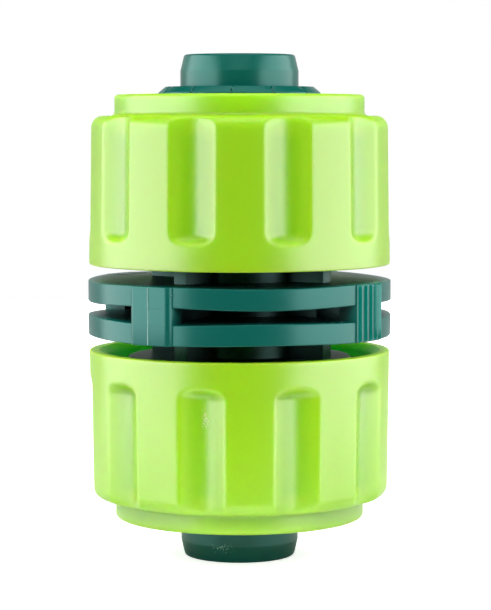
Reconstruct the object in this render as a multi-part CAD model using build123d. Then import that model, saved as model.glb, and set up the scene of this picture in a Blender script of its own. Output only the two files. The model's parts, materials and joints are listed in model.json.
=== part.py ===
"""Hose repair connector: one moulded body with two hose spigots, and two union nuts.

Millimetres and degrees. The origin is the middle of the body, on the axis of the hose.
+Z runs along the axis to the upper spigot, and -Y is the front, which the angles of the
pads, slits and flutes are counted from, positive towards +X.
"""
from build123d import *
import os
from math import degrees, hypot, radians, sqrt, tan

# Spigots and water way; the radii of all other parts follow from the spigot
spigot_d = 13.7          # straight part of the spigot, for a half-inch hose
spigot_wall = 2.05
spigot_proud = 4.62      # spigot past the nut
spigot_tip_step = 0.45   # lead-in cone, on the radius
spigot_tip_len = 1.7     # length of the lead-in cone
spigot_tip_round = 0.35  # rounded corner of the end

# Middle of the body: two flanges, joined at the rim by four pads
flange_t = 2.4
flange_slot = 1.44       # open slot between the two flanges
flange_proud = 0.1       # flanges past the nuts
flange_round = 0.35
neck_step = 0.35         # tube inside the flanges past the spigot
neck_len = 2.6           # flange to threaded collar
web_t = 1.8              # four webs that cross on the axis
web_step = 1.0           # collar past the webs
pad_angle = -33.5        # middle of the first flat pad; the mould parts near its plane
pad_w = 5.6
pad_depth = 2.6          # thickness of the pads, inwards
pad_rise = 0.15          # pads past the flanges, up and down
flat_pad_proud = 0.5     # flat pad past the flanges
flat_pad_round = 0.7
rib_pad_proud = 0.15     # ribbed pad past the flanges, behind its ribs
rib_count = 5            # upright ribs on each gripping pad
rib_pitch = 1.05
rib_w = 0.9
rib_proud = 0.3          # rib past its pad

# Threaded collar and collet, alike at both ends
pocket_room = 3.45       # hose pocket at its floor, spigot to collar
pocket_round = 0.6
collar_wall = 2.7
collar_len = 8.5
collar_floor = 2.2       # floor of the hose pocket
finger_count = 12
finger_foot_step = 0.8   # collar past the fingers' feet
finger_lean = 0.95       # slope of a finger from its foot to the bevel, on the radius
finger_neck_len = 5.4    # foot to the start of the bevel
finger_neck_wall = 1.95
finger_bevel_len = 2.7
finger_land_len = 3.2    # straight tip past the bevel
finger_tip_wall = 1.05
finger_tip_round = 0.6
tooth_room = 0.9         # crests of the inner teeth to the spigot, for the hose's wall
tooth_h = 0.65
tooth_pitch = 1.4
tooth_count = 2
tooth_face = 0.2         # length of a tooth's steep face
slit_root_w = 1.0        # slit between two fingers, at its closed end
slit_tip_w = 0.35        # and at the tips, which the nut draws together
slit_start = 0.8         # closed end of the slit past the collar
slit_angle = -35.5       # one of the slits

# Union nut
nut_gap = 1.86           # flange to the nut's rim
thread_room = 2.1        # both threads, on the radius
nut_wall = 2.4
nut_draft = 0.75         # slope of the side, degrees
nut_rim_round = 0.3
nut_shoulder_round = 1.4
nose_step = 3.0          # short collar at the nut's outer end, inside the nut's rim
nose_len = 2.44
nose_round = 0.45
nose_foot_round = 0.5
mouth_lip = 0.7          # width of the rim's flat face
mouth_bevel_len = 1.7
nut_land_len = 2.0       # straight hole round the fingers' tips
nut_hole_round = 0.3
finger_clearance = 0.3   # nut to fingers, on the radius
finger_tip_proud = 0.94  # fingers past the nut
flute_count = 10
flute_w = 5.0
flute_depth = 1.15
flute_end_round = 0.9
flute_band = 3.2         # plain band between the rim and the flutes
upper_flute_angle = 18.0
lower_flute_angle = 22.5

# Radii, from the spigot outwards
spigot_r = spigot_d / 2
bore_r = spigot_r - spigot_wall
neck_r = spigot_r + neck_step
mid_wall_r = (bore_r + neck_r) / 2
pocket_r = spigot_r + pocket_room
collar_r = pocket_r + collar_wall
thread_bore_r = collar_r + thread_room
nut_r = thread_bore_r + nut_wall
flange_r = nut_r + flange_proud
flat_pad_r = flange_r + flat_pad_proud
rib_pad_r = flange_r + rib_pad_proud
web_r = collar_r - web_step
tooth_r = spigot_r + tooth_room
tooth_root_r = tooth_r + tooth_h
finger_tip_r = tooth_root_r + finger_tip_wall
finger_foot_r = collar_r - finger_foot_step
finger_neck_r = finger_foot_r - finger_lean
nut_hole_r = finger_tip_r + finger_clearance

# Places along the axis, from the middle outwards
flange_in = flange_slot / 2
flange_out = flange_in + flange_t
pad_height = 2 * (flange_out + pad_rise)
collar_in = flange_out + neck_len
collar_out = collar_in + collar_len
bevel_in = collar_out + finger_neck_len
bevel_out = bevel_in + finger_bevel_len
finger_end = bevel_out + finger_land_len
rim_z = flange_out + nut_gap
nose_end = finger_end - finger_tip_proud
shoulder_z = nose_end - nose_len
spigot_end = nose_end + spigot_proud


def around(angle):
    """Turn about the axis that brings +X to this angle from the front."""
    return Rot(0, 0, angle - 90)


def revolved(outline):
    """Solid of revolution about Z of a wire drawn in the XZ plane."""
    return revolve(make_face(outline), Axis.Z)


def rounded(points, radii):
    """Closed outline in the XZ plane; radii gives the round of a corner by its number."""
    outline = Polyline(*[(r, 0, z) for r, z in points], close=True)
    for number, radius in radii.items():
        r, z = points[number]
        corner = min(outline.vertices(), key=lambda v: hypot(v.X - r, v.Z - z))
        outline = Wire(outline.edges()).fillet_2d(radius, [corner])
    return outline


def tube():
    """One half of the water way with its spigot, from the middle plane out."""
    points = [
        (bore_r, 0),
        (neck_r, 0),
        (neck_r, collar_in + collar_floor),
        (spigot_r, collar_in + collar_floor),
        (spigot_r, spigot_end - spigot_tip_len),
        (spigot_r - spigot_tip_step, spigot_end),
        (bore_r, spigot_end),
    ]
    return revolved(rounded(points, {5: spigot_tip_round}))


def flange():
    """The upper flange, a disc round the tube."""
    points = [
        (mid_wall_r, flange_in),
        (flange_r, flange_in),
        (flange_r, flange_out),
        (mid_wall_r, flange_out),
    ]
    return revolved(rounded(points, {1: flange_round, 2: flange_round}))


def collet():
    """One threaded collar with the pocket for the hose and the ring of gripping fingers."""
    floor_z = collar_in + collar_floor
    points = [
        (neck_r, collar_in),
        (collar_r, collar_in),
        (collar_r, collar_out),
        (finger_foot_r, collar_out),
        (finger_neck_r, bevel_in),
        (finger_tip_r, bevel_out),
        (finger_tip_r, finger_end),
        (tooth_root_r, finger_end),
    ]
    crest_z = finger_end - tooth_pitch
    for _ in range(tooth_count):
        points.append((tooth_r, crest_z))
        points.append((tooth_root_r, crest_z - tooth_face))
        crest_z -= tooth_pitch
    points += [
        (finger_neck_r - finger_neck_wall, bevel_in),
        (pocket_r, collar_out),
        (pocket_r, floor_z),
        (neck_r, floor_z),
    ]
    floor_corner = len(points) - 2
    return revolved(rounded(points, {6: finger_tip_round, floor_corner: pocket_round}))


def slits():
    """Cutters between the fingers: wider at the closed end than at the tips."""
    start, stop = collar_out + slit_start, finger_end + 1
    slope = (slit_root_w - slit_tip_w) / 2 / (finger_end - start)
    root, tip = slit_root_w / 2, slit_tip_w / 2 - slope
    side = Polyline((-root, start), (root, start), (tip, stop), (-tip, stop), close=True)
    blade = extrude(Plane.YZ.offset(spigot_r) * make_face(side), collar_r - spigot_r)
    step = 360 / finger_count
    return [around(slit_angle + i * step) * blade for i in range(finger_count)]


def webs():
    """Two crossed plates: narrow in the necks, full width between the flanges."""
    neck = Box(2 * web_r, web_t, 2 * collar_in)
    slot = Box(2 * flange_r - pad_depth, web_t, flange_slot)
    plates = [around(pad_angle + turn) * (neck + slot) for turn in (0, 90)]
    return plates[0] + plates[1] - Cylinder(mid_wall_r, 2 * spigot_end)


def flat_pad():
    """Pad near the plane where the mould parts, with a flat face and rounded sides."""
    block = Pos(flat_pad_r - pad_depth / 2, 0, 0) * Box(pad_depth, pad_w, pad_height)
    outer = block.edges().filter_by(Axis.Z).sort_by(Axis.X)[-2:]
    return fillet(outer, flat_pad_round)


def ribbed_pad():
    """Gripping pad across the draw of the mould, curved, with upright ribs."""
    ring = Cylinder(rib_pad_r, pad_height) - Cylinder(rib_pad_r - pad_depth, pad_height)
    block = ring & Pos(rib_pad_r, 0, 0) * Box(2 * pad_depth, pad_w, pad_height)
    rib_r = rib_w / 2
    rib = Pos(rib_pad_r + rib_proud - rib_r, 0, 0) * Cylinder(rib_r, pad_height)
    for i in range(rib_count):
        turn = (i - (rib_count - 1) / 2) * degrees(rib_pitch / rib_pad_r)
        block += Rot(0, 0, turn) * rib
    return block


def connector_body():
    """The one-piece body: two mirrored ends, the webs and the pads."""
    end = tube() + flange() + collet()
    end -= slits()
    body = end + mirror(end, Plane.XY) + webs()
    for turn in (0, 180):
        body += around(pad_angle + turn) * flat_pad()
        body += around(pad_angle + turn + 90) * ribbed_pad()
    return body


def nut_shell():
    """The upper nut without its flutes: outside with draft, nose, threaded bore and cone."""
    shoulder_r = nut_r - (shoulder_z - rim_z) * tan(radians(nut_draft))
    nose_r = nut_r - nose_step
    cone_slope = (finger_neck_r - finger_tip_r) / finger_bevel_len
    cone_out = nose_end - nut_land_len
    cone_in = cone_out - (thread_bore_r - nut_hole_r) / cone_slope
    points = [
        (thread_bore_r, rim_z + mouth_bevel_len),
        (nut_r - mouth_lip, rim_z),
        (nut_r, rim_z),
        (shoulder_r, shoulder_z),
        (nose_r, shoulder_z),
        (nose_r, nose_end),
        (nut_hole_r, nose_end),
        (nut_hole_r, cone_out),
        (thread_bore_r, cone_in),
    ]
    radii = {
        2: nut_rim_round,
        3: nut_shoulder_round,
        4: nose_foot_round,
        5: nose_round,
        6: nut_hole_round,
    }
    return revolved(rounded(points, radii))


def flutes(angle):
    """Blunt round cutters that leave the grip flutes and run out at the shoulder."""
    band_r = nut_r - flute_band * tan(radians(nut_draft))
    sagitta = band_r - sqrt(band_r**2 - (flute_w / 2) ** 2)
    chord_depth = flute_depth - sagitta
    cutter_r = ((flute_w / 2) ** 2 + chord_depth**2) / (2 * chord_depth)
    length = nose_end - rim_z
    rod = Pos(0, 0, length / 2) * Cylinder(cutter_r, length)
    rod = fillet(rod.edges().sort_by(Axis.Z)[0], flute_end_round)
    place = Pos(band_r - flute_depth + cutter_r, 0, rim_z + flute_band)
    cutter = place * Rot(0, -nut_draft, 0) * rod
    step = 360 / flute_count
    return [around(angle + i * step) * cutter for i in range(flute_count)]


def union_nut(flute_angle):
    """A union nut as it sits on the upper end."""
    return nut_shell() - flutes(flute_angle)


def write(part, name):
    part.label = name
    export_step(part, f"parts/{name}.step")
    print(f"{name}: {len(part.solids())} solid, {part.volume / 1000:.3f} cm3")


os.makedirs("parts", exist_ok=True)
write(connector_body(), "connector_body")
write(union_nut(upper_flute_angle), "upper_union_nut")
write(mirror(union_nut(lower_flute_angle), Plane.XY), "lower_union_nut")
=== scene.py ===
# %% [markdown]
# # A hose repair connector
# The real object has three plastic mouldings: a dark teal body with a spigot and a ring of gripping
# fingers at each end, and two lime green union nuts that screw over the fingers. The CAD model, here
# called the frame, fixes every size. This script makes its surfaces look like moulded plastic, with
# soft edges, threads, a mould line, a little dust, and the light of a product photograph.

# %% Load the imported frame
import json
from math import asin, cos, degrees, pi, radians, sin, sqrt, tan

import bmesh
import bpy
from mathutils import Matrix, Vector

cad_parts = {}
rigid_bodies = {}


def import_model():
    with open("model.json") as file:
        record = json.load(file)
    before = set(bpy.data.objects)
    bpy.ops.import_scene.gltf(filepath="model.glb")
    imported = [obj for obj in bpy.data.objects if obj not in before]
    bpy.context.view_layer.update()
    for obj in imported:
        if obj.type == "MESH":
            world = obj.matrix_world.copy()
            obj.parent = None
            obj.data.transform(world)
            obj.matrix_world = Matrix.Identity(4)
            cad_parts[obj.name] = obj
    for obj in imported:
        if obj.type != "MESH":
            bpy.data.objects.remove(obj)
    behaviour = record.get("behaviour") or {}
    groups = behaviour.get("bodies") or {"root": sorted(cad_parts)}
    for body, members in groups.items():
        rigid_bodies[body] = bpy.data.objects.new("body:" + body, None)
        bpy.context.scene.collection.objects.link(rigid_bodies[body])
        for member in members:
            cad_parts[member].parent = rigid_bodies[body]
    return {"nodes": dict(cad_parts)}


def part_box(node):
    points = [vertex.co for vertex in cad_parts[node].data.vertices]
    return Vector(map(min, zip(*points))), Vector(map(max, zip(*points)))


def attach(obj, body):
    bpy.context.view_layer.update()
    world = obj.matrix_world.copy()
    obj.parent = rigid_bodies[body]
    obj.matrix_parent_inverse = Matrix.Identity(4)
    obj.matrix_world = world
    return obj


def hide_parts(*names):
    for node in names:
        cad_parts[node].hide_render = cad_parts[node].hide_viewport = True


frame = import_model()
scene = bpy.context.scene
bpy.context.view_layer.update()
MM = 0.001


print("CAD nodes:", ", ".join(sorted(frame["nodes"])))

# %% [markdown]
# ## Heights from the frame
# Heights that the frame can tell are read from it, so they can't drift apart. Every other size is
# given where it is first needed, in millimetres. Heights count outwards from the middle, because
# both ends are alike, and where a function asks for an end, 1 is the upper one and -1 the lower.
# Angles count from the front, which is -Y, and grow towards +X.

# %% Heights from the frame
body_low, body_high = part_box("connector_body")
nut_low, nut_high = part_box("upper_union_nut")
SPIGOT_END = body_high.z / MM
RIM_Z = nut_low.z / MM
NOSE_END = nut_high.z / MM
print(f"nut from {RIM_Z:.2f} to {NOSE_END:.2f} mm, spigot to {SPIGOT_END:.2f} mm")

# %% [markdown]
# ## Outlines
# Most of the connector is turned, so its surfaces can be drawn as outlines of radius and height: a
# list of corners, each with the radius of its round. A bevel modifier could round the edges too, but
# would give them all the same round. Long runs are divided, for the flutes to push in.

# %% Outlines
ARC_STEPS = 6


def rounded(corners, run=None):
    """Closed outline of (r, z) points from corners (r, z, round), with runs divided."""
    arcs = []
    for i, (r, z, bend) in enumerate(corners):
        here = Vector((r, z))
        before = Vector(corners[i - 1][:2]) - here
        after = Vector(corners[(i + 1) % len(corners)][:2]) - here
        if not bend:
            arcs.append([here])
            continue
        before.normalize()
        after.normalize()
        half = before.angle(after) / 2
        centre = here + (before + after).normalized() * bend / sin(half)
        start = here + before * bend / tan(half) - centre
        end = here + after * bend / tan(half) - centre
        sweep = start.angle_signed(end)
        steps = [sweep * k / ARC_STEPS for k in range(ARC_STEPS + 1)]
        arcs.append([centre + Matrix.Rotation(-turn, 2) @ start for turn in steps])
    points = []
    for i, arc in enumerate(arcs):
        points += arc
        following = arcs[(i + 1) % len(arcs)][0]
        gap = following - arc[-1]
        parts = max(1, round(gap.length / run)) if run else 1
        points += [arc[-1] + gap * k / parts for k in range(1, parts)]
    return [tuple(point) for point in points]


def mirrored(points):
    """The same outline at the lower end."""
    return [(r, -z) for r, z in points]


def polar(r, angle, z):
    """Point in metres at a radius and height in mm and an angle in degrees from the front."""
    a = radians(angle)
    return (r * sin(a) * MM, -r * cos(a) * MM, z * MM)


# %% [markdown]
# ## Closed meshes
# A surface is a row of outlines with faces between them, which closes on itself or gets a cap at
# each end. Its normals are worked out afresh, so an outline may be drawn either way round.

# %% Closed meshes
MERGE = 0.002 * MM


def placed(name, data):
    """New object in the scene with this mesh, lamp or camera."""
    piece = bpy.data.objects.new(name, data)
    scene.collection.objects.link(piece)
    return piece


def baked(name, shape):
    """New mesh from a bmesh, which is freed."""
    mesh = bpy.data.meshes.new(name)
    shape.to_mesh(mesh)
    shape.free()
    return mesh


def face_outwards(mesh, merge=0.0):
    """Makes a mesh's normals point outwards, after points within the merge distance are made one."""
    shape = bmesh.new()
    shape.from_mesh(mesh)
    if merge:
        bmesh.ops.remove_doubles(shape, verts=shape.verts, dist=merge)
    bmesh.ops.recalc_face_normals(shape, faces=shape.faces)
    shape.to_mesh(mesh)
    shape.free()


def skinned(name, rows, closed=True):
    """New object with faces between rows of points, each row an outline in space."""
    size, count = len(rows[0]), len(rows)
    faces = []
    for i in range(count if closed else count - 1):
        a, b = i * size, (i + 1) % count * size
        faces += [(a + j, b + j, b + (j + 1) % size, a + (j + 1) % size) for j in range(size)]
    if not closed:
        faces += [tuple(range(size)), tuple(range((count - 1) * size, count * size))]
    mesh = bpy.data.meshes.new(name)
    mesh.from_pydata([point for row in rows for point in row], [], faces)
    face_outwards(mesh, MERGE)
    return placed(name, mesh)


def swept(name, outline_at, angles, closed=True):
    """Sweeps an outline, which may change with the angle, round the axis."""
    rows = [[polar(r, angle, z) for r, z in outline_at(angle)] for angle in angles]
    return skinned(name, rows, closed)


def turned(name, outline, count=192):
    """Sweeps one outline all the way round."""
    return swept(name, lambda angle: outline, [360 * i / count for i in range(count)])


def joined(name, pieces):
    """Joins pieces into one object with a plain mesh."""
    shape = bmesh.new()
    for piece in pieces:
        shape.from_mesh(piece.data)
        bpy.data.objects.remove(piece)
    return placed(name, baked(name, shape))


def smooth(piece, angle):
    """Shades a piece smooth, with edges steeper than the angle kept sharp."""
    piece.data.shade_smooth()
    piece.data.set_sharp_from_angle(angle=radians(angle))
    return piece


# %% [markdown]
# ## Node trees that can be read
# Forms and effects that follow a rule are made by nodes. A long sum in nodes is hard to read, so one
# helper writes each step of it as one line, and another fills a node's inputs by their names.

# %% Helpers for all node trees
def give(tree, socket, value):
    """Links an input to a node or to one of its outputs, or sets it to a plain value."""
    if isinstance(value, bpy.types.Node):
        value = value.outputs[0]
    if isinstance(value, bpy.types.NodeSocket):
        tree.links.new(value, socket)
    else:
        socket.default_value = value


def fill(tree, node, **values):
    """Fills a node's inputs by name, with spaces as underscores."""
    for name, value in values.items():
        give(tree, next(s for s in node.inputs if s.enabled and s.name == name.replace("_", " ")), value)


def add_node(tree, kind, settings=None, **values):
    """Adds a node, sets its properties and fills its inputs."""
    node = tree.nodes.new(kind)
    for name, value in (settings or {}).items():
        setattr(node, name, value)
    fill(tree, node, **values)
    return node


def math_step(tree, operation, *values, kind="ShaderNodeMath"):
    """Adds a Math node. Its inputs share one name, so they are filled in order."""
    node = add_node(tree, kind, {"operation": operation})
    for socket, value in zip(node.inputs, values):
        give(tree, socket, value)
    return node.outputs


def sums_in(tree):
    """Gives a function that adds one Math node to the tree and returns its output."""
    return lambda *step: math_step(tree, *step)[0]


def vector_step(tree, *step):
    """Adds a Vector Math node and gives its outputs."""
    return math_step(tree, *step, kind="ShaderNodeVectorMath")


# %% [markdown]
# ## Geometry trees
# The flutes, threads, fingers and ribs are each one form repeated or bent by a rule. Geometry Nodes
# suit this: the rule stays in one tree and the sizes are its inputs. The result is kept as a plain
# mesh, which can be joined and exported like any other.

# %% Helpers for geometry trees
def add_socket(tree, label, kind="Float", way="INPUT"):
    """Gives a tree one more named input, or output."""
    return tree.interface.new_socket(label, in_out=way, socket_type=f"NodeSocket{kind}")


def geometry_tree(name, sizes):
    """New geometry tree with named inputs. Gives the tree, its input and its finishing step."""
    tree = bpy.data.node_groups.new(name, "GeometryNodeTree")
    add_socket(tree, "Geometry", "Geometry")
    for label in sizes:
        add_socket(tree, label)
    add_socket(tree, "Material", "Material")
    add_socket(tree, "Geometry", "Geometry", "OUTPUT")
    given = tree.nodes.new("NodeGroupInput").outputs

    def finish(geometry):
        real = add_node(tree, "GeometryNodeRealizeInstances", Geometry=geometry)
        dressed = add_node(tree, "GeometryNodeSetMaterial", Geometry=real, Material=given["Material"])
        give(tree, tree.nodes.new("NodeGroupOutput").inputs[0], dressed)

    return tree, given, finish


def run_tree(piece, tree, sizes, material):
    """Runs a tree on a piece and keeps the result as the piece's plain mesh."""
    modifier = piece.modifiers.new(tree.name, "NODES")
    modifier.node_group = tree
    values = {**sizes, "Material": material}
    for item in tree.interface.items_tree:
        if item.in_out == "INPUT" and item.name in values:
            modifier[item.identifier] = values[item.name]
    bpy.context.view_layer.update()
    seen = piece.evaluated_get(bpy.context.evaluated_depsgraph_get())
    mesh = bpy.data.meshes.new_from_object(seen)
    piece.modifiers.remove(modifier)
    piece.data = mesh
    return piece


# %% [markdown]
# ## Shared surface effects
# The plastics share five effects, each a shader group with its own values in each material. They
# read Object coordinates, so they stay on a part that moves. Image textures could do the same, but
# would have to be unwrapped and would blur from close by.

# %% Helpers for shader groups
def shader_group(name, inputs, output):
    """New shader group with one output. Inputs are names with their usual values."""
    tree = bpy.data.node_groups.new(name, "ShaderNodeTree")
    for label, value in inputs.items():
        add_socket(tree, label).default_value = value
    add_socket(tree, output, way="OUTPUT")
    given = tree.nodes.new("NodeGroupInput").outputs
    result = tree.nodes.new("NodeGroupOutput").inputs[0]
    place = tree.nodes.new("ShaderNodeTexCoord").outputs["Object"]
    return tree, given, result, place


def noise(tree, place, scale, detail=3.0, roughness=0.5):
    """Cloudy noise from 0 to 1."""
    return add_node(tree, "ShaderNodeTexNoise", Vector=place, Scale=scale, Detail=detail,
                    Roughness=roughness).outputs["Fac"]


def kept_between_0_and_1(sums, value):
    """The value itself, but never under 0 or over 1."""
    return sums("MINIMUM", sums("MAXIMUM", value, 0.0), 1.0)


# %% [markdown]
# ### Grain and flow marks
# Polished steel leaves a faint grain on the plastic, and the wall sinks in slow waves as it cools,
# which makes the highlights waver. The colour shades in clouds, drawn out along the flow.

# %% Grain and flow marks
def moulded_grain():
    """Fine grain of the mould with slow waves under it, as a height from 0 to 1."""
    tree, given, result, place = shader_group(
        "moulded_grain", {"Grain scale": 6000.0, "Wave scale": 260.0, "Wave share": 0.75}, "Height")
    grain = noise(tree, place, given["Grain scale"], detail=2.0)
    wave = noise(tree, place, given["Wave scale"], detail=1.0)
    mix = add_node(tree, "ShaderNodeMix", {"data_type": "FLOAT"}, Factor=given["Wave share"],
                   A=grain, B=wave)
    give(tree, result, mix)
    return tree


def flow_marks():
    """Slow cloudy shading, drawn out along the axis as the plastic flowed."""
    tree, given, result, place = shader_group("flow_marks", {"Scale": 120.0, "Contrast": 1.0}, "Fac")
    drawn = add_node(tree, "ShaderNodeMapping", Vector=place, Scale=(1.0, 1.0, 0.35))
    cloud = noise(tree, drawn, given["Scale"], detail=4.0, roughness=0.6)
    sums = sums_in(tree)
    spread = sums("MULTIPLY", sums("SUBTRACT", cloud, 0.5), given["Contrast"])
    give(tree, result, sums("ADD", spread, 0.5))
    return tree


# %% [markdown]
# ### Dust and scuffs
# A Voronoi texture splits space into cells, and a chance in a cell's colour says whether it holds a
# speck of dust. The photograph also shows two rubbed places, on the lower nut and the lower spigot.
# There a noise breaks up into marks that thin out from the middle.

# %% Dust and scuffs
SCUFF_GRAIN = 5000.0
SCUFF_THINNING = 0.12        # how much more noise a mark needs at the edge
SCUFF_SHARPNESS = 12.0


def dust_specks():
    """Mask of small scattered specks: 1 on a speck and 0 between them."""
    tree, given, result, place = shader_group(
        "dust_specks", {"Scale": 900.0, "Size": 0.12, "Share": 0.1}, "Mask")
    cells = add_node(tree, "ShaderNodeTexVoronoi", Vector=place, Scale=given["Scale"])
    chance = add_node(tree, "ShaderNodeSeparateColor", Color=cells.outputs["Color"])
    sums = sums_in(tree)
    reach = sums("MULTIPLY", given["Size"], chance.outputs["Green"])
    near = sums("LESS_THAN", cells.outputs["Distance"], reach)
    kept = sums("LESS_THAN", chance.outputs["Red"], given["Share"])
    give(tree, result, sums("MULTIPLY", near, kept))
    return tree


def scuff():
    """Mask of one small scuffed place: broken marks that thin out from its centre."""
    tree, given, result, place = shader_group(
        "scuff", {"Centre X": 0.0, "Centre Y": 0.0, "Centre Z": 0.0, "Width": 0.001, "Height": 0.001,
                  "Level": 0.5}, "Mask")
    centre = add_node(tree, "ShaderNodeCombineXYZ", X=given["Centre X"], Y=given["Centre Y"],
                      Z=given["Centre Z"])
    size = add_node(tree, "ShaderNodeCombineXYZ", X=given["Width"], Y=given["Width"], Z=given["Height"])
    offset = vector_step(tree, "SUBTRACT", place, centre)["Vector"]
    share = vector_step(tree, "DIVIDE", offset, size)["Vector"]
    apart = vector_step(tree, "LENGTH", share)["Value"]
    sums = sums_in(tree)
    marks = noise(tree, place, SCUFF_GRAIN, detail=3.0, roughness=0.7)
    level = sums("ADD", given["Level"], sums("MULTIPLY", apart, SCUFF_THINNING))
    over = sums("MULTIPLY", sums("SUBTRACT", marks, level), SCUFF_SHARPNESS)
    near = sums("LESS_THAN", apart, 1.0)
    give(tree, result, sums("MULTIPLY", kept_between_0_and_1(sums, over), near))
    return tree


# %% [markdown]
# ### Painted shade and glow in hollows
# Light glows on in the hollow mouth of a nut, the flutes are a little darker, and the necks of the
# body lie in deep shade. Many bounces of light would show this, but take long to render. So a mask
# finds these places by their distance from the axis, and the material paints them: painted shade in
# the flutes and necks, painted glow on the lip and in the bore of a nut.

# %% Painted shade and glow in hollows
def painted_light_mask():
    """Mask for painted shade and glow: 1 inside a cone round the axis, up to a height from the middle."""
    tree, given, result, place = shader_group(
        "painted_light_mask", {"Radius": 0.017, "Taper": 0.0, "Height": 0.006, "Fade": 0.001}, "Mask")
    axes = add_node(tree, "ShaderNodeSeparateXYZ", Vector=place).outputs
    sums = sums_in(tree)
    squares = [sums("MULTIPLY", axes[axis], axes[axis]) for axis in ("X", "Y")]
    radius = sums("SQRT", sums("ADD", *squares))
    height = sums("ABSOLUTE", axes["Z"])
    leaning = sums("ADD", radius, sums("MULTIPLY", height, given["Taper"]))
    inside = sums("SUBTRACT", given["Radius"], leaning)
    below = sums("SUBTRACT", given["Height"], height)
    masks = [kept_between_0_and_1(sums, sums("DIVIDE", depth, given["Fade"])) for depth in (inside, below)]
    give(tree, result, sums("MULTIPLY", *masks))
    return tree


groups = {tree.name: tree for tree in (moulded_grain(), flow_marks(), dust_specks(), painted_light_mask(), scuff())}
print("shader groups:", ", ".join(groups))

# %% [markdown]
# ## A moulded plastic
# One function makes all the plastics, because they differ only in their values. The Principled
# shader has the gloss and the light inside the plastic. The groups vary its colour, roughness and
# normal, with dust and scuffs on top, which dull the gloss.

# %% The plastic
FLOW_DULLS = 0.1
DUST_DULLS = 0.3
GRAIN_HEIGHT = 0.02
LIGHT_REACH = (0.6, 1.0, 0.15)        # how far red, green and blue travel inside the plastic


def group_node(tree, name, **values):
    """Puts a shader group in a material and sets its values."""
    return add_node(tree, "ShaderNodeGroup", {"node_tree": groups[name]}, **values)


def toned(tree, factor, under, over):
    """Mixes two colours and gives the result."""
    return add_node(tree, "ShaderNodeMix", {"data_type": "RGBA"}, Factor=factor, A=under,
                    B=over).outputs["Result"]


def plastic(name, deep, light, dust, gloss, specular, tint, bump, ior=1.5, subsurface=0.0, glow=1.0,
            speck_share=0.03, flow_contrast=1.0, scuff_place=None, painted_light_zones=()):
    """Moulded plastic. A zone of painted shade or glow is given by its place, colour and extra roughness.
    """
    material = bpy.data.materials.new(name)
    material.use_nodes = True
    tree = material.node_tree
    shader = tree.nodes["Principled BSDF"]
    sums = sums_in(tree)
    flow = group_node(tree, "flow_marks", Contrast=flow_contrast)
    marks = group_node(tree, "dust_specks", Share=speck_share)
    if scuff_place:
        marks = sums("MAXIMUM", marks, group_node(tree, "scuff", **scuff_place))
    dull = sums("ADD", gloss, sums("MULTIPLY", sums("SUBTRACT", flow, 0.5), FLOW_DULLS))
    dull = sums("ADD", dull, sums("MULTIPLY", marks, DUST_DULLS))
    tone = toned(tree, flow, deep, light)
    # Painted shade and painted glow, mixed into the base colour zone by zone.
    for place, colour, extra_dull in painted_light_zones:
        inside = group_node(tree, "painted_light_mask", **place)
        tone = toned(tree, inside, tone, colour)
        dull = sums("ADD", dull, sums("MULTIPLY", inside, extra_dull))
    tone = toned(tree, marks, tone, dust)
    relief = add_node(tree, "ShaderNodeBump", Strength=bump, Distance=GRAIN_HEIGHT * MM,
                      Height=group_node(tree, "moulded_grain"))
    fill(tree, shader, Base_Color=tone, Roughness=dull, Normal=relief, IOR=ior,
         Specular_IOR_Level=specular, Specular_Tint=tint, Subsurface_Weight=subsurface,
         Subsurface_Radius=LIGHT_REACH, Subsurface_Scale=glow * MM)
    return material


def painted_light_place(radius, taper, height, fade):
    """Where painted shade or glow lies, in millimetres, as the values of its mask group."""
    return {"Radius": radius * MM, "Taper": taper, "Height": height * MM, "Fade": fade * MM}


def scuffed(x, y, z, width, height, level):
    """Where a scuff lies, in millimetres, as the values of the scuff group."""
    return {"Centre X": x * MM, "Centre Y": y * MM, "Centre Z": z * MM,
            "Width": width * MM, "Height": height * MM, "Level": level}


# %% [markdown]
# ## The four plastics
# The body is a dark teal with a satin gloss. Its thin ribs are glossier, and their lighter teal is
# painted glow. The torn edge of its flash line is paler. The nuts are a lime green in which light
# travels a few millimetres, so they are pale where the light grazes them.

# %% The four plastics
TEAL_DUST = (0.42, 0.7, 0.66, 1)
TEAL_TINT = (0.55, 1.0, 0.96, 1)

# Painted shade: a much darker teal in the slot, the gaps and round the necks.
neck_painted_shade = (painted_light_place(17.2, 0.0, 8.5, 1.2), (0.002, 0.03, 0.024, 1), 0.08)
spigot_scuff = scuffed(-2.1, -6.5, -27.45, 1.9, 0.75, 0.52)
teal = plastic("teal_plastic", deep=(0.0004, 0.09, 0.071, 1), light=(0.0007, 0.105, 0.083, 1),
               dust=TEAL_DUST, gloss=0.3, specular=0.85, tint=TEAL_TINT, bump=0.25,
               scuff_place=spigot_scuff, painted_light_zones=[neck_painted_shade])
# The ribs' lighter teal is painted glow; their lower roughness is real gloss.
rib_teal_painted_glow = plastic("teal_ribs_painted_glow", deep=(0.0004, 0.15, 0.115, 1), light=(0.0007, 0.17, 0.13, 1),
                    dust=TEAL_DUST, gloss=0.16, specular=1.0, tint=TEAL_TINT, bump=0.2)
flash_plastic = plastic("teal_flash", deep=(0.06, 0.2, 0.18, 1), light=(0.3, 0.48, 0.44, 1),
                        dust=(0.8, 0.9, 0.87, 1), gloss=0.35, specular=0.6, tint=(1.0, 1.0, 1.0, 1),
                        bump=0.25, speck_share=0.3, flow_contrast=3.0)

# Painted shade: a darker lime in the flutes and inside the nut.
flute_painted_shade = (painted_light_place(17.2, 0.013, 20.5, 1.0), (0.25, 0.61, 0.002, 1), 0.0)
# Painted glow: a brighter lime on the lip and bevel of the open end.
lip_painted_glow = (painted_light_place(17.9, 0.25, 7.5, 0.4), (0.5, 0.98, 0.0, 1), 0.0)
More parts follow.
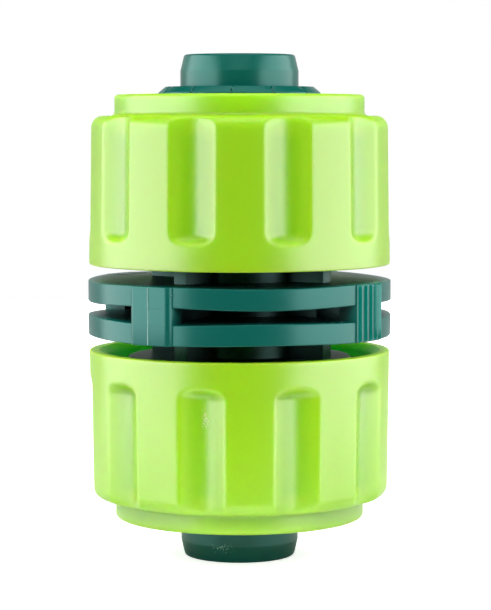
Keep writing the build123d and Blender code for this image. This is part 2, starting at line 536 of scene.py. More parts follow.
# Painted glow: a saturated green in the bore, for light shining through the wall.
bore_painted_glow = (painted_light_place(15.75, 0.0, 20.0, 0.25), (0.0, 0.85, 0.001, 1), 0.2)
flute_scuff = scuffed(-3.8, -15.9, -11.3, 0.5, 1.3, 0.46)
lime = plastic("lime_plastic", deep=(0.33, 0.635, 0.003, 1), light=(0.36, 0.68, 0.006, 1),
               dust=(0.75, 0.85, 0.5, 1), gloss=0.36, specular=1.0, tint=(1.0, 0.88, 0.93, 1), bump=0.1,
               ior=1.7, subsurface=0.9, glow=3.0, speck_share=0.008, flow_contrast=0.8,
               scuff_place=flute_scuff, painted_light_zones=[flute_painted_shade, lip_painted_glow, bore_painted_glow])
print("plastics:", ", ".join(material.name for material in (teal, rib_teal_painted_glow, flash_plastic, lime)))

# %% [markdown]
# ## The grip flutes
# A boolean cut would leave a knife edge round each flute, but the real edges are soft. So a nut's
# shell is turned with its outside finely divided, and a rule pulls each point in to the nearer of
# two surfaces: the shell, and a round cutter that leans with the draft. They are blended over one
# millimetre. The cutter is blunt and rounded at the rim end and runs out at the shoulder.

# %% The flute rule
CUTTER_FADE = 2.5        # how fast the cutter narrows to nothing past its blunt end
BLEND_DEPTH = 0.25       # the blend's greatest depth, as a share of its width


def flute_tree():
    """Pulls the outside of a nut in to a ring of round cutters with soft edges."""
    tree, given, finish = geometry_tree("grip_flutes", [
        "Flutes", "Turn", "End", "Band height", "Band radius", "Depth", "Cutter radius",
        "End round", "Slope", "Soft edge"])
    sums = sums_in(tree)

    # Where a point lies: its radius and its angle from the nearest flute.
    place = tree.nodes.new("GeometryNodeInputPosition")
    axes = add_node(tree, "ShaderNodeSeparateXYZ", Vector=place).outputs
    x, y = axes["X"], axes["Y"]
    radius = sums("SQRT", sums("ADD", sums("MULTIPLY", x, x), sums("MULTIPLY", y, y)))
    angle = sums("SUBTRACT", sums("ARCTAN2", x, sums("MULTIPLY", y, -1.0)), given["Turn"])
    half_step = sums("DIVIDE", pi, given["Flutes"])
    off = sums("WRAP", angle, half_step, sums("MULTIPLY", half_step, -1.0))

    # The axis of the cutter, which leans with the draft of the nut.
    past_end = sums("SUBTRACT", sums("MULTIPLY", axes["Z"], given["End"]), given["Band height"])
    middle = sums("ADD", sums("SUBTRACT", given["Band radius"], given["Depth"]), given["Cutter radius"])
    middle = sums("SUBTRACT", middle, sums("MULTIPLY", past_end, given["Slope"]))

    # The radius of the cutter, which is rounded at its blunt end.
    into_round = sums("MINIMUM", sums("MAXIMUM", past_end, 0.0), given["End round"])
    missing = sums("SUBTRACT", given["End round"], into_round)
    arc = sums("SUBTRACT", sums("POWER", given["End round"], 2.0), sums("POWER", missing, 2.0))
    cutter = sums("SUBTRACT", given["Cutter radius"], given["End round"])
    cutter = sums("ADD", cutter, sums("SQRT", sums("MAXIMUM", arc, 0.0)))
    cutter = sums("ADD", cutter, sums("MULTIPLY", sums("MINIMUM", past_end, 0.0), CUTTER_FADE))
    cutter = sums("MAXIMUM", cutter, 0.0)

    # Where a line from the axis of the nut meets the cutter.
    sideways = sums("MULTIPLY", middle, sums("SINE", off))
    reach = sums("SUBTRACT", sums("POWER", cutter, 2.0), sums("POWER", sideways, 2.0))
    reach = sums("SQRT", sums("MAXIMUM", reach, 0.0))
    cut = sums("SUBTRACT", sums("MULTIPLY", middle, sums("COSINE", off)), reach)

    # The nearer of the two surfaces, lowered a little where they meet.
    apart = sums("ABSOLUTE", sums("SUBTRACT", radius, cut))
    overlap = sums("MAXIMUM", sums("SUBTRACT", given["Soft edge"], apart), 0.0)
    blend = sums("DIVIDE", overlap, given["Soft edge"])
    deepest = sums("MULTIPLY", given["Soft edge"], BLEND_DEPTH)
    softened = sums("MULTIPLY", sums("POWER", blend, 2.0), deepest)
    pulled = sums("SUBTRACT", sums("MINIMUM", radius, cut), softened)
    share = sums("DIVIDE", pulled, radius)
    moved = add_node(tree, "ShaderNodeCombineXYZ", X=sums("MULTIPLY", x, share),
                     Y=sums("MULTIPLY", y, share), Z=axes["Z"])
    finish(add_node(tree, "GeometryNodeSetPosition", Geometry=given["Geometry"], Position=moved))
    return tree


fluted = flute_tree()
print("flute nodes:", len(fluted.nodes))

# %% [markdown]
# ## The union nuts
# The shell has a plain band at the open end, a rounded shoulder and a short nose. Inside, a cone
# with the slope of the fingers' bevel draws the fingers in. The open end has a flat lip, which is
# bright in the photograph, and a bevel and a cone that lead to the threads. The cutter's radius
# follows from a flute's width and depth, of which the nut's own roundness takes a part.

# %% The nut shells
NUT_R = 17.5
NUT_SLOPE = tan(radians(0.75))
FLUTE_COUNT = 10
FLUTE_W = 4.6
FLUTE_DEPTH = 1.15
FLUTE_BAND = 3.2
FLUTE_END_ROUND = 1.15
FLUTE_SOFT_EDGE = 1.0
FINGER_NECK_R = 11.25
FINGER_TIP_R = 9.45
FINGER_BEVEL_IN = 19.62
FINGER_BEVEL_OUT = 22.32
THREAD_BORE_R = 15.1
NUT_HOLE_R = 9.75
NUT_LAND = 2.0
NOSE_R = 14.5
SHOULDER_Z = NOSE_END - 2.44
SHOULDER_R = NUT_R - (SHOULDER_Z - RIM_Z) * NUT_SLOPE
CONE_SLOPE = (FINGER_NECK_R - FINGER_TIP_R) / (FINGER_BEVEL_OUT - FINGER_BEVEL_IN)
CONE_OUT = NOSE_END - NUT_LAND
CONE_IN = CONE_OUT - (THREAD_BORE_R - NUT_HOLE_R) / CONE_SLOPE
MOUTH_LIP = 1.1
MOUTH_BEVEL = 0.75
MOUTH_DEPTH = 1.7
NUT_SIDES = 400
NUT_RUN = 0.28
UPPER_FLUTE_ANGLE = 18.4
LOWER_FLUTE_ANGLE = 22.1

band_r = NUT_R - FLUTE_BAND * NUT_SLOPE
chord_depth = FLUTE_DEPTH - (band_r - sqrt(band_r**2 - (FLUTE_W / 2) ** 2))
cutter_r = ((FLUTE_W / 2) ** 2 + chord_depth**2) / (2 * chord_depth)
nut_outline = rounded([
    (THREAD_BORE_R, RIM_Z + MOUTH_DEPTH, 0.2),
    (NUT_R - MOUTH_LIP - MOUTH_BEVEL, RIM_Z + MOUTH_BEVEL, 0.15),
    (NUT_R - MOUTH_LIP, RIM_Z, 0.1),
    (NUT_R, RIM_Z, 0.18),
    (SHOULDER_R, SHOULDER_Z, 1.4),
    (NOSE_R, SHOULDER_Z, 0.5),
    (NOSE_R, NOSE_END, 0.45),
    (NUT_HOLE_R, NOSE_END, 0.3),
    (NUT_HOLE_R, CONE_OUT, 0.0),
    (THREAD_BORE_R, CONE_IN, 0.2),
], run=NUT_RUN)


def nut_shell(name, end, flute_angle):
    """The nut of an end."""
    outline = nut_outline if end > 0 else mirrored(nut_outline)
    shell = turned(name, outline, NUT_SIDES)
    sizes = {
        "Flutes": float(FLUTE_COUNT), "Turn": radians(flute_angle), "End": float(end),
        "Band height": (RIM_Z + FLUTE_BAND) * MM, "Band radius": band_r * MM,
        "Depth": FLUTE_DEPTH * MM, "Cutter radius": cutter_r * MM,
        "End round": FLUTE_END_ROUND * MM, "Slope": NUT_SLOPE, "Soft edge": FLUTE_SOFT_EDGE * MM,
    }
    return smooth(run_tree(shell, fluted, sizes, lime), 50)


upper_nut = nut_shell("upper_nut_moulding", 1, UPPER_FLUTE_ANGLE)
lower_nut = nut_shell("lower_nut_moulding", -1, LOWER_FLUTE_ANGLE)
print(f"cutter radius {cutter_r:.2f} mm, nut faces: {len(upper_nut.data.polygons)}")

# %% [markdown]
# ## Threads
# The coarse threads show only in the gap at a nut's mouth. A thread is a ridge on a helix, so a
# spiral curve carries a trapezium along it, with its foot a little inside the wall. Towards its
# ends it shrinks into the wall, as a moulded thread runs out.

# %% The thread rule
SPIRAL_STEPS = 72
THREAD_END_SCALE = 0.04
THREAD_GROWTH = 14.0        # from an end, the ridge is full after about 1/14 of its length


def thread_tree():
    """A ridge that follows a spiral."""
    tree, given, finish = geometry_tree("thread_ridge", [
        "Radius", "Pitch", "Turns", "Foot", "Crest", "Height", "Side", "Lift"])
    sums = sums_in(tree)
    spiral = add_node(tree, "GeometryNodeCurveSpiral", Resolution=SPIRAL_STEPS, Rotations=given["Turns"],
                      Start_Radius=given["Radius"], End_Radius=given["Radius"],
                      Height=sums("MULTIPLY", given["Pitch"], given["Turns"]), Reverse=True)
    upright = add_node(tree, "GeometryNodeSetCurveNormal", {"mode": "Z_UP"}, Curve=spiral)
    along = tree.nodes.new("GeometryNodeSplineParameter").outputs["Factor"]
    from_end = sums("MINIMUM", along, sums("SUBTRACT", 1.0, along))
    grown = sums("ADD", THREAD_END_SCALE, sums("MULTIPLY", from_end, THREAD_GROWTH))
    grown = sums("MINIMUM", grown, 1.0)
    section = add_node(tree, "GeometryNodeCurvePrimitiveQuadrilateral", {"mode": "TRAPEZOID"},
                       Bottom_Width=given["Foot"], Top_Width=given["Crest"],
                       Height=given["Height"], Offset=0.0)
    turn = add_node(tree, "ShaderNodeCombineXYZ", Z=sums("MULTIPLY", given["Side"], -pi / 2))
    half = sums("MULTIPLY", sums("MULTIPLY", given["Height"], given["Side"]), 0.5)
    shift = add_node(tree, "ShaderNodeCombineXYZ", X=half)
    set_up = add_node(tree, "GeometryNodeTransform", Geometry=section, Translation=shift, Rotation=turn)
    ridge = add_node(tree, "GeometryNodeCurveToMesh", Curve=upright, Profile_Curve=set_up, Scale=grown,
                     Fill_Caps=True)
    lift = add_node(tree, "ShaderNodeCombineXYZ", Z=given["Lift"])
    finish(add_node(tree, "GeometryNodeTransform", Geometry=ridge, Translation=lift))
    return tree


threads = thread_tree()
print("thread nodes:", len(threads.nodes))

# %% [markdown]
# ## Four ridges
# The nut's ridge points inwards and lies half a pitch further on, between two turns of the body's.
# The lower ridges are the upper ones turned over, since a mirror would make them left-handed.

# %% The ridges
COLLAR_IN = 5.72
COLLAR_R = 13.0
THREAD_PITCH = 3.0
THREAD_H = 1.6
THREAD_SUNK = 0.15
THREAD_FOOT = 1.5
THREAD_CREST = 0.6
THREAD_START = COLLAR_IN + 1.0
BODY_THREAD_TURNS = 2.2
NUT_THREAD_TURNS = 1.8


def thread(name, wall_r, side, lift, turns, end, material):
    """One ridge on a wall, where side is 1 if it points outwards and -1 if inwards."""
    piece = placed(name, bpy.data.meshes.new(name))
    sizes = {
        "Radius": (wall_r - side * THREAD_SUNK) * MM, "Pitch": THREAD_PITCH * MM,
        "Turns": turns, "Foot": THREAD_FOOT * MM, "Crest": THREAD_CREST * MM,
        "Height": (THREAD_H + THREAD_SUNK) * MM, "Side": float(side), "Lift": lift * MM,
    }
    run_tree(piece, threads, sizes, material)
    if end < 0:
        piece.data.transform(Matrix.Rotation(pi, 4, "X"))
    face_outwards(piece.data)
    return smooth(piece, 40)


body_threads = []
nut_threads = {}
for end, label in ((1, "upper"), (-1, "lower")):
    on_body = thread(f"{label}_body_thread", COLLAR_R, 1, THREAD_START, BODY_THREAD_TURNS, end, teal)
    in_nut = thread(f"{label}_nut_thread", THREAD_BORE_R, -1, THREAD_START + THREAD_PITCH / 2,
                    NUT_THREAD_TURNS, end, lime)
    body_threads.append(on_body)
    nut_threads[label] = in_nut
    print(label, "ridges:", len(on_body.data.polygons) + len(in_nut.data.polygons), "faces")

# %% [markdown]
# ## The core of the body
# The water way, the spigots, the threaded collars and the rings under the fingers are turned from
# one outline, and turned over for the lower end. The spigot ends in a short cone, so that the hose
# slides on, and the pocket round it takes the hose's wall.

# %% Water way, spigots and collars
BORE_R = 4.8
NECK_R = 7.2
SPIGOT_R = 6.85
SPIGOT_TIP_R = 6.4
SPIGOT_TIP_LEN = 1.9
POCKET_R = 10.3
COLLAR_OUT = 14.22
FLOOR_Z = COLLAR_IN + 2.2
SLIT_START = 0.8
FINGER_FOOT_R = 12.2
FINGER_LEAN = (FINGER_FOOT_R - FINGER_NECK_R) / (FINGER_BEVEL_IN - COLLAR_OUT)
RING_Z = COLLAR_OUT + SLIT_START
RING_R = FINGER_FOOT_R - SLIT_START * FINGER_LEAN
RING_IN_R = POCKET_R - 0.1

end_outline = rounded([
    (BORE_R, 0.0, 0.0),
    (NECK_R, 0.0, 0.0),
    (NECK_R, COLLAR_IN, 0.25),
    (COLLAR_R, COLLAR_IN, 0.35),
    (COLLAR_R, COLLAR_OUT, 0.3),
    (FINGER_FOOT_R, COLLAR_OUT, 0.15),
    (RING_R, RING_Z, 0.0),
    (RING_IN_R, RING_Z, 0.0),
    (POCKET_R, FLOOR_Z, 0.6),
    (SPIGOT_R, FLOOR_Z, 0.3),
    (SPIGOT_R, SPIGOT_END - SPIGOT_TIP_LEN, 0.3),
    (SPIGOT_TIP_R, SPIGOT_END, 0.35),
    (BORE_R, SPIGOT_END, 0.25),
], run=1.2)
upper_core = turned("upper_core", end_outline)
lower_core = turned("lower_core", mirrored(end_outline))
print("points in an end's outline:", len(end_outline))

# %% [markdown]
# ## Flanges
# Two discs with an open slot between them. In the photograph they are bowed: the slot is 1.4 mm
# high half way between two pads and nearly 1.9 mm beside a pad, where thicker plastic held the discs
# apart as it cooled. So each disc is swept round the axis with an outline that changes.

# %% Flanges
FLANGE_R = 17.6
FLANGE_T = 2.4
FLANGE_SLOT = 1.44
FLANGE_ROUND = 0.15
SLOT_BOW = 0.24
STACK_BOW = 0.16
SUNK_R = BORE_R + 1.0
PAD_ANGLE = -33.5        # the first flat pad, near the plane where the mould parts
RIM_STEPS = 240


def bow(angle):
    """0 half way between two pads and 1 at a pad."""
    return (1 + cos(radians(4 * (angle - PAD_ANGLE)))) / 2


def flange_outline(angle, end):
    """Outline of a flange at an angle."""
    low = FLANGE_SLOT / 2
    high = low + FLANGE_T
    low_rim = low + SLOT_BOW * bow(angle)
    high_rim = high + STACK_BOW * bow(angle)
    outline = rounded([
        (SUNK_R, low, 0.0),
        (FLANGE_R, low_rim, FLANGE_ROUND),
        (FLANGE_R, high_rim, FLANGE_ROUND * 0.8),
        (SUNK_R, high, 0.0),
    ], run=2.0)
    return outline if end > 0 else mirrored(outline)


rim_angles = [360 * i / RIM_STEPS for i in range(RIM_STEPS)]
flanges = [swept(f"flange_{end}", lambda angle, end=end: flange_outline(angle, end), rim_angles)
           for end in (1, -1)]
print("flange faces:", len(flanges[0].data.polygons))

# %% [markdown]
# ## Blocks
# Flat pads, webs and the fine lines of the mould are boxes that point away from the axis. The
# outer upright edges of a pad are rounded more than the others, so they are bevelled first.

# %% Blocks
NO_ROUND = 0.01         # a corner this near the outer face belongs to it
SHARP_EDGE = 40         # degrees


def block(name, r_in, r_out, width, low, high, angle, bevel, soft_corners=0.0, aside=0.0):
    """A box along a radius, its outer upright edges rounded first and all other edges bevelled."""
    shape = bmesh.new()
    bmesh.ops.create_cube(shape, size=1.0)
    for vert in shape.verts:
        x, y, z = vert.co
        vert.co = ((r_in + (x + 0.5) * (r_out - r_in)) * MM, (y * width + aside) * MM,
                   (low + (z + 0.5) * (high - low)) * MM)
    if soft_corners:
        outer = [edge for edge in shape.edges
                 if all(vert.co.x > (r_out - NO_ROUND) * MM for vert in edge.verts)
                 and abs(edge.verts[0].co.z - edge.verts[1].co.z) > MM]
        bmesh.ops.bevel(shape, geom=outer, offset=soft_corners * MM, segments=6, profile=0.5,
                        affect="EDGES")
    sharp = [edge for edge in shape.edges if edge.calc_face_angle(0.0) > radians(SHARP_EDGE)]
    bmesh.ops.bevel(shape, geom=sharp, offset=bevel * MM, segments=2, profile=0.5, affect="EDGES")
    mesh = baked(name, shape)
    mesh.transform(Matrix.Rotation(radians(angle - 90), 4, "Z"))
    return placed(name, mesh)


# %% [markdown]
# ## Flat pads and webs
# Two flat pads join the discs at the rim and stand half a millimetre proud. Crossed webs stiffen
# the necks and go on through the slot to the pads. All start inside a wall, so that no gap shows.

# %% Flat pads and webs
PAD_W = 5.6
PAD_DEPTH = 2.6
PAD_TOP = FLANGE_SLOT / 2 + FLANGE_T + STACK_BOW
FLAT_PAD_R = 18.1
FLAT_PAD_W = PAD_W - 0.12
WEB_R = 12.0
WEB_T = 1.8
WEB_TOP = COLLAR_IN + 0.5

flat_pads = [block(f"flat_pad_{turn}", FLAT_PAD_R - PAD_DEPTH, FLAT_PAD_R, FLAT_PAD_W,
                   -PAD_TOP, PAD_TOP, PAD_ANGLE + turn, 0.15, 0.7) for turn in (0, 180)]
webs = []
for turn in (0, 90, 180, 270):
    angle = PAD_ANGLE + turn
    webs.append(block(f"web_{turn}", SUNK_R, WEB_R, WEB_T, -WEB_TOP, WEB_TOP, angle, 0.12))
    webs.append(block(f"slot_web_{turn}", WEB_R - 1.0, FLANGE_R - PAD_DEPTH + 0.5, WEB_T,
                      -FLANGE_SLOT, FLANGE_SLOT, angle, 0.1))
print("blocks:", len(flat_pads) + len(webs))

# %% [markdown]
# ## Ribbed pads
# The other two pads follow the rim. A block would be flat, so each is a short sweep, capped at its
# two sides. Core, discs, webs and pads are one moulding, so they are joined here.

# %% Ribbed pads
RIB_PAD_R = 17.75
RIB_PAD_HALF = degrees(asin((PAD_W / 2 - 0.16) / RIB_PAD_R))
RIB_PAD_ROUND = 0.25
RIB_PAD_STEPS = 8

ribbed_pad_outline = rounded([
    (RIB_PAD_R - PAD_DEPTH, -PAD_TOP, 0.0),
    (RIB_PAD_R, -PAD_TOP, RIB_PAD_ROUND),
    (RIB_PAD_R, PAD_TOP, RIB_PAD_ROUND),
    (RIB_PAD_R - PAD_DEPTH, PAD_TOP, 0.0),
], run=1.5)
pad_steps = [RIB_PAD_HALF * (i / RIB_PAD_STEPS - 1) for i in range(2 * RIB_PAD_STEPS + 1)]
ribbed_pads = [swept(f"ribbed_pad_{turn}", lambda angle: ribbed_pad_outline,
                     [PAD_ANGLE + turn + step for step in pad_steps], closed=False)
               for turn in (90, 270)]
body = joined("connector_body_moulding",
              [upper_core, lower_core, *flanges, *flat_pads, *webs, *ribbed_pads])
body.data.materials.append(teal)
smooth(body, 38)
print("body faces:", len(body.data.polygons))

# %% [markdown]
# ## Repeating round the axis
# Twelve fingers stand in a ring at each end, and five ribs on each ribbed pad. One of each is
# modelled, and a tree sets copies round the axis. An array modifier would need a helper object.

# %% The repeating rule
def ring_tree():
    """Repeats a piece round the axis: Count copies, Step apart, the first one turned by Start."""
    tree, given, finish = geometry_tree("repeat_round_axis", ["Count", "Step", "Start"])
    sums = sums_in(tree)
    places = add_node(tree, "GeometryNodePoints", Count=given["Count"])
    number = tree.nodes.new("GeometryNodeInputIndex")
    turn = sums("ADD", given["Start"], sums("MULTIPLY", number, given["Step"]))
    rotation = add_node(tree, "ShaderNodeCombineXYZ", Z=turn)
    finish(add_node(tree, "GeometryNodeInstanceOnPoints", Points=places, Instance=given["Geometry"],
                    Rotation=rotation))
    return tree


ring = ring_tree()


def repeated(piece, count, step, start, material):
    """Repeats a piece round the axis, with angles in degrees."""
    sizes = {"Count": float(count), "Step": radians(step), "Start": radians(start)}
    return run_tree(piece, ring, sizes, material)


print("ring nodes:", len(ring.nodes))

# %% [markdown]
# ## Gripping fingers
# A finger is a slice of a turned ring. The slits beside it narrow towards the tips, because the nut
# draws these together, so the slice's angle changes with the height. The outermost columns of
# points are tucked in a little, which softens the long edges. Two teeth inside bite the hose.

# %% Fingers
FINGER_COUNT = 12
FINGER_END = 25.52
FOOT_Z = RING_Z - 0.2
FINGER_NECK_WALL = 1.95
TOOTH_R = 7.75
ROOT_R = TOOTH_R + 0.65
TOOTH_PITCH = 1.4
TOOTH_FACE = 0.2
TOOTH_ROUND = 0.08
TIP_BEVEL = 0.75
SLIT_ROOT_W = 1.0
SLIT_TIP_W = 0.1
SLIT_ANGLE = -35.5
SLICE = 360 / FINGER_COUNT
COLUMNS = [-1.0, -0.97, -0.6, -0.2, 0.2, 0.6, 0.97, 1.0]
TUCK = 0.07
OUTSIDE_R = 9.0         # points past this radius are on the outside of a finger

# From inside the ring to the tip of a finger and back over the teeth.
finger_outline = rounded([
    (RING_IN_R, FOOT_Z, 0.0),
    (FINGER_FOOT_R - (FOOT_Z - COLLAR_OUT) * FINGER_LEAN, FOOT_Z, 0.0),
    (FINGER_NECK_R, FINGER_BEVEL_IN, 0.8),
    (FINGER_TIP_R, FINGER_BEVEL_OUT, 0.8),
    (FINGER_TIP_R, FINGER_END - TIP_BEVEL, 0.4),
    (ROOT_R + 0.15, FINGER_END, 0.12),
    (ROOT_R, FINGER_END - 0.1, 0.0),
    (TOOTH_R, FINGER_END - TOOTH_PITCH, TOOTH_ROUND),
    (ROOT_R, FINGER_END - TOOTH_PITCH - TOOTH_FACE, TOOTH_ROUND),
    (TOOTH_R, FINGER_END - 2 * TOOTH_PITCH, TOOTH_ROUND),
    (ROOT_R, FINGER_END - 2 * TOOTH_PITCH - TOOTH_FACE, TOOTH_ROUND),
    (FINGER_NECK_R - FINGER_NECK_WALL, FINGER_BEVEL_IN, 0.5),
], run=0.7)


def slit_half_angle(r, z):
    """Half the angle of a finger at a radius and height."""
    share = (z - RING_Z) / (FINGER_END - RING_Z)
    width = SLIT_ROOT_W + (SLIT_TIP_W - SLIT_ROOT_W) * share
    return SLICE / 2 - degrees(asin(width / 2 / r))


def fingers(name, end):
    """The ring of fingers of an end."""
    rows = []
    for column in COLUMNS:
        tuck = TUCK if abs(column) == 1.0 else 0.0
        row = []
        for r, z in finger_outline:
            inward = tuck if r > OUTSIDE_R or z > FINGER_END - 0.2 else -tuck
            row.append(polar(r - inward, column * slit_half_angle(r, z), end * z))
        rows.append(row)
    piece = skinned(name, rows, closed=False)
    return smooth(repeated(piece, FINGER_COUNT, SLICE, SLIT_ANGLE + SLICE / 2, teal), 35)


upper_fingers = fingers("upper_gripping_fingers", 1)
lower_fingers = fingers("lower_gripping_fingers", -1)
print("finger faces:", len(upper_fingers.data.polygons))

# %% [markdown]
# ## Grip ribs
# The ribs are upright ridges with a nearly sharp crest, which catches a bright line. Towards its
# ends a ridge shrinks to its foot in three steps, so that they look rounded.

# %% Ribs
RIB_COUNT = 5
RIB_PITCH = 1.05
RIB_W = 0.9
RIB_PROUD = 0.3
RIB_FOOT_R = 17.5
RIB_FOOT_HALF = RIB_W / 2 + 0.07
RIB_CREST_R = RIB_PAD_R + RIB_PROUD + 0.02
RIB_STEP = degrees(RIB_PITCH / RIB_PAD_R)
RIB_END = [(0.0, 0.3), (0.12, 0.75), (0.35, 1.0)]        # distance from an end, share of the height


def rib_row(name, turn):
    """Five upright ridges, centred on a gripping pad."""
    section = rounded([(RIB_FOOT_R, RIB_FOOT_HALF, 0.0), (RIB_FOOT_R, -RIB_FOOT_HALF, 0.0),
                       (RIB_CREST_R, 0.0, 0.08)])
    lower_half = [(back - PAD_TOP, share) for back, share in RIB_END]
    upper_half = [(PAD_TOP - back, share) for back, share in reversed(RIB_END)]
    rows = [[((RIB_FOOT_R + (x - RIB_FOOT_R) * share) * MM, y * MM, z * MM) for x, y in section]
            for z, share in lower_half + upper_half]
    first = PAD_ANGLE + turn - 90 - RIB_STEP * (RIB_COUNT - 1) / 2
    piece = skinned(name, rows, closed=False)
    return smooth(repeated(piece, RIB_COUNT, RIB_STEP, first, rib_teal_painted_glow), 40)


rib_rows = [rib_row("right_grip_ribs", 90), rib_row("left_grip_ribs", 270)]
print("rib faces:", len(rib_rows[0].data.polygons))

# %% [markdown]
# ## Flash lines and core marks
# Where the halves of the mould met, a line of plastic up to 0.06 mm high stands on each flat pad. It
# catches the light, so it is a thin ridge and not a painted line. Two short level lines run out
# from it, where a core of the mould ended.

# %% Flash lines and core marks
FLASH_W = 0.1
FLASH_ASIDE = -0.14
FLASH_RUNS = [        # from, to and height of each run
    (0.85, PAD_TOP - 0.1, 0.06),
    (-1.2, 0.85, 0.015),
    (0.1 - PAD_TOP, -1.2, 0.05),
]
CORE_MARKS = [0.9, -0.98]        # heights
CORE_MARK_W = 2.1
CORE_MARK_T = 0.08
CORE_MARK_ASIDE = 0.9
MARK_ROOT_R = FLAT_PAD_R - 0.3
MARK_BEVEL = 0.01

flash_lines = []
core_marks = []
for turn in (0, 180):
    for low, high, proud in FLASH_RUNS:
        flash_lines.append(block(f"flash_line_{turn}", MARK_ROOT_R, FLAT_PAD_R + proud, FLASH_W,
                                 low, high, PAD_ANGLE + turn, MARK_BEVEL, aside=FLASH_ASIDE))
    for z in CORE_MARKS:
        core_marks.append(block(f"core_mark_{turn}", MARK_ROOT_R, FLAT_PAD_R + 0.02, CORE_MARK_W,
                                z - CORE_MARK_T / 2, z + CORE_MARK_T / 2, PAD_ANGLE + turn,
                                MARK_BEVEL, aside=CORE_MARK_ASIDE))
print("flash runs:", len(flash_lines), "core marks:", len(core_marks))

# %% [markdown]
# ## Burrs
# Crumbs of plastic under a tenth of a millimetre stay on the fingers' tips, the rims and the pad. A
# little ball stands for each, half sunk in the wall, at a place looked up in the photograph.

# %% Burrs
BURRS = [        # angle, radius, height, size
    (-35.4, 9.25, 24.9, 0.07), (-5.4, 9.0, 25.25, 0.08), (-4.7, 9.15, 25.1, 0.06),
    (-5.4, 9.35, 24.8, 0.06), (23.6, 9.15, 25.05, 0.08), (24.2, 9.35, 24.8, 0.06),
    (21.9, 8.75, 25.4, 0.05), (-24.5, 17.95, 2.4, 0.09), (-22.6, 17.58, 1.4, 0.05),
    (-19.0, 17.58, 3.1, 0.05), (-15.6, 17.58, 3.05, 0.05), (32.6, 17.2, -0.84, 0.06),
    (37.0, 17.2, -0.82, 0.06), (41.1, 17.3, -0.8, 0.06), (35.5, 17.2, 3.22, 0.05),
    (40.3, 17.2, 3.22, 0.05), (-28.2, 18.15, -0.5, 0.04), (-27.4, 18.18, -0.7, 0.04),
    (-26.6, 18.2, -0.85, 0.04),
]
for angle, r, z, size in BURRS:
    shape = bmesh.new()
    bmesh.ops.create_icosphere(shape, subdivisions=1, radius=size * MM,
                               matrix=Matrix.Translation(polar(r, angle, z)))
    flash_lines.append(placed("burr", baked("burr", shape)))

flash = joined("flash_lines", flash_lines)
flash.data.materials.append(flash_plastic)
marks = joined("core_marks", core_marks)
marks.data.materials.append(teal)
print("burrs:", len(BURRS))

# %% [markdown]
# ## Riding on the frame
# Every piece rides on the CAD body it moves with, and the CAD node it stands for is hidden. The
# thread of a nut turns with its nut.

# %% Bodies
body_pieces = [body, *body_threads, upper_fingers, lower_fingers, *rib_rows, flash, marks]
for piece in body_pieces:
    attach(piece, "body")
    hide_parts("connector_body")
for label, nut in (("upper", upper_nut), ("lower", lower_nut)):
    for piece in (nut, nut_threads[label]):
        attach(piece, f"{label}_nut")
        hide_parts(f"{label}_union_nut")
print("pieces on the body:", len(body_pieces))

# %% [markdown]
# ## Floor
# The photograph is a product shot on white paper. The camera sees paper that glows white, with a
# trace of shade near the foot. The gloss of the plastic sees greyer paper, as it would with black
# cards round the set, because plain white would wash out the dark stripes.

# %% Floor
GROUND_Z = body_low.z
FLOOR_NEAR = -0.04
FLOOR_FAR = 0.4
FLOOR_SIDE = 0.1
PAPER = (0.85, 0.85, 0.85, 1)
PAPER_IN_GLOSS = (0.6, 0.6, 0.6, 1)
SHADE = 0.72        # the paper's glow at the foot
SHADE_NEAR = 0.05
SHADE_FAR = 0.2

paper = bpy.data.materials.new("white_paper")
paper.use_nodes = True
tree = paper.node_tree
rays = tree.nodes.new("ShaderNodeLightPath").outputs
tone = toned(tree, rays["Is Glossy Ray"], PAPER, PAPER_IN_GLOSS)
place = tree.nodes.new("ShaderNodeTexCoord").outputs["Object"]
apart = vector_step(tree, "LENGTH", place)["Value"]
# Painted glow for the camera: weaker near the foot, where the real shade then shows, full white further
# off.
glow = add_node(tree, "ShaderNodeMapRange", Value=apart, From_Min=SHADE_NEAR, From_Max=SHADE_FAR,
                To_Min=SHADE, To_Max=1.0)
seen = sums_in(tree)("MULTIPLY", rays["Is Camera Ray"], glow)
fill(tree, tree.nodes["Principled BSDF"], Base_Color=tone, Roughness=0.9, Specular_IOR_Level=0.0,
     Emission_Color=(1, 1, 1, 1), Emission_Strength=seen)

floor_corners = [(x, y, GROUND_Z) for x, y in ((-FLOOR_SIDE, FLOOR_NEAR), (FLOOR_SIDE, FLOOR_NEAR),
                                               (FLOOR_SIDE, FLOOR_FAR), (-FLOOR_SIDE, FLOOR_FAR))]
floor_mesh = bpy.data.meshes.new("studio_floor")
floor_mesh.from_pydata(floor_corners, [], [(0, 1, 2, 3)])
floor = placed("studio_floor", floor_mesh)
floor.data.materials.append(paper)
print(f"floor at {GROUND_Z / MM:.1f} mm")

# %% [markdown]
# ## Lights
# Tall cards at the left and right make highlights only: the pale panels at the sides, with the deep
# stripe between them. A dim card behind and one above draw the edges. The other lamps make no
# highlight and only lift the shade. Gloss and shade are easier to match when they are split.

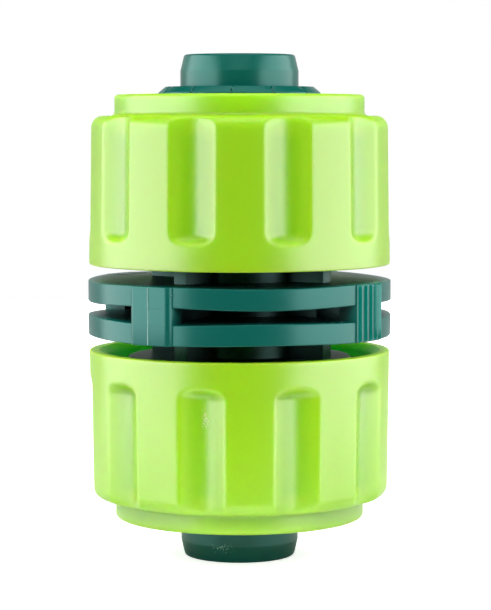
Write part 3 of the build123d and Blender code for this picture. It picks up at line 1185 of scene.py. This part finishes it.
# %% Lights
CENTRE = (0, 0, 0)
CARDS = [        # name, place, aim, width, height and watts of each lamp that makes highlights only
    ("left_card", (-0.6, -0.12, 0.1), (0, -0.12, 0.1), 1.08, 0.7, 6.6),
    ("right_card", (0.6, -0.14, 0.1), (0, -0.14, 0.1), 1.16, 0.7, 6.6),
    ("back_card", (0.0, 0.6, 0.06), CENTRE, 1.2, 0.5, 1.1),
    ("top_card", (0.0, -0.1, 0.8), CENTRE, 1.2, 0.8, 2.2),
]
FILLS = [        # the same of each lamp that makes none
    ("top_soft_box", (0.0, -0.2, 0.65), CENTRE, 0.5, 0.4, 1.2),
    ("front_fill", (0.0, -0.53, 0.33), CENTRE, 0.45, 0.3, 3.4),
    ("low_bounce", (0.0, -0.45, -0.17), CENTRE, 1.2, 0.2, 1.1),
    ("left_back_fill", (-0.5, 0.25, 0.36), CENTRE, 0.4, 0.4, 5.0),
    ("right_back_fill", (0.5, 0.25, 0.36), CENTRE, 0.4, 0.4, 5.0),
]


def soft_box(name, place, aim, width, height, watts):
    """Area light that is turned towards its aim."""
    light = bpy.data.lights.new(name, "AREA")
    light.shape = "RECTANGLE"
    light.size = width
    light.size_y = height
    light.energy = watts
    lamp = placed(name, light)
    lamp.location = place
    lamp.rotation_euler = (Vector(aim) - Vector(place)).to_track_quat("-Z", "Y").to_euler()
    return lamp


for card in CARDS:
    soft_box(*card).visible_diffuse = False
for fill_light in FILLS:
    soft_box(*fill_light).visible_glossy = False
print("lamps:", len(CARDS) + len(FILLS))

# %% [markdown]
# ## Air
# The background is white to the camera. As a light it is nearly black, because a bright room would
# fill all shade and flatten the plastic. The Standard view keeps white white.

# %% Air
AIR_STRENGTH = 0.03

air = bpy.data.worlds.new("studio_air")
air.use_nodes = True
tree = air.node_tree
dim = tree.nodes["Background"]
fill(tree, dim, Strength=AIR_STRENGTH)
white = add_node(tree, "ShaderNodeBackground", Color=(1, 1, 1, 1), Strength=1.0)
seen = tree.nodes.new("ShaderNodeLightPath").outputs["Is Camera Ray"]
mix = tree.nodes.new("ShaderNodeMixShader")
for socket, value in zip(mix.inputs, (seen, dim, white)):
    give(tree, socket, value)
fill(tree, tree.nodes["World Output"], Surface=mix)
scene.world = air
scene.view_settings.view_transform = "Standard"
print("world:", scene.world.name)

# %% [markdown]
# ## Camera
# The camera stands 276 mm away with its lens 21 mm above the middle of the connector and looks down
# by 4.4 degrees. These came from fitting the rims of the nuts and flanges to the photograph.

# %% Camera
PHOTO_H = 610
FOCAL_PX = 2368.28
SENSOR = 36.0
CAMERA_PLACE = (0.7, -275.77, 21.37)
CAMERA_DOWN = 4.408

camera_data = bpy.data.cameras.new("photo_camera")
camera_data.sensor_fit = "AUTO"
camera_data.sensor_width = SENSOR
camera_data.lens = FOCAL_PX * SENSOR / PHOTO_H
camera_data.clip_start = 0.01
camera_data.clip_end = 20.0
camera = placed("photo_camera", camera_data)
camera.location = [value * MM for value in CAMERA_PLACE]
camera.rotation_euler = (radians(90 - CAMERA_DOWN), 0, 0)
bpy.context.scene.camera = camera
print(f"lens {camera_data.lens:.1f} mm")
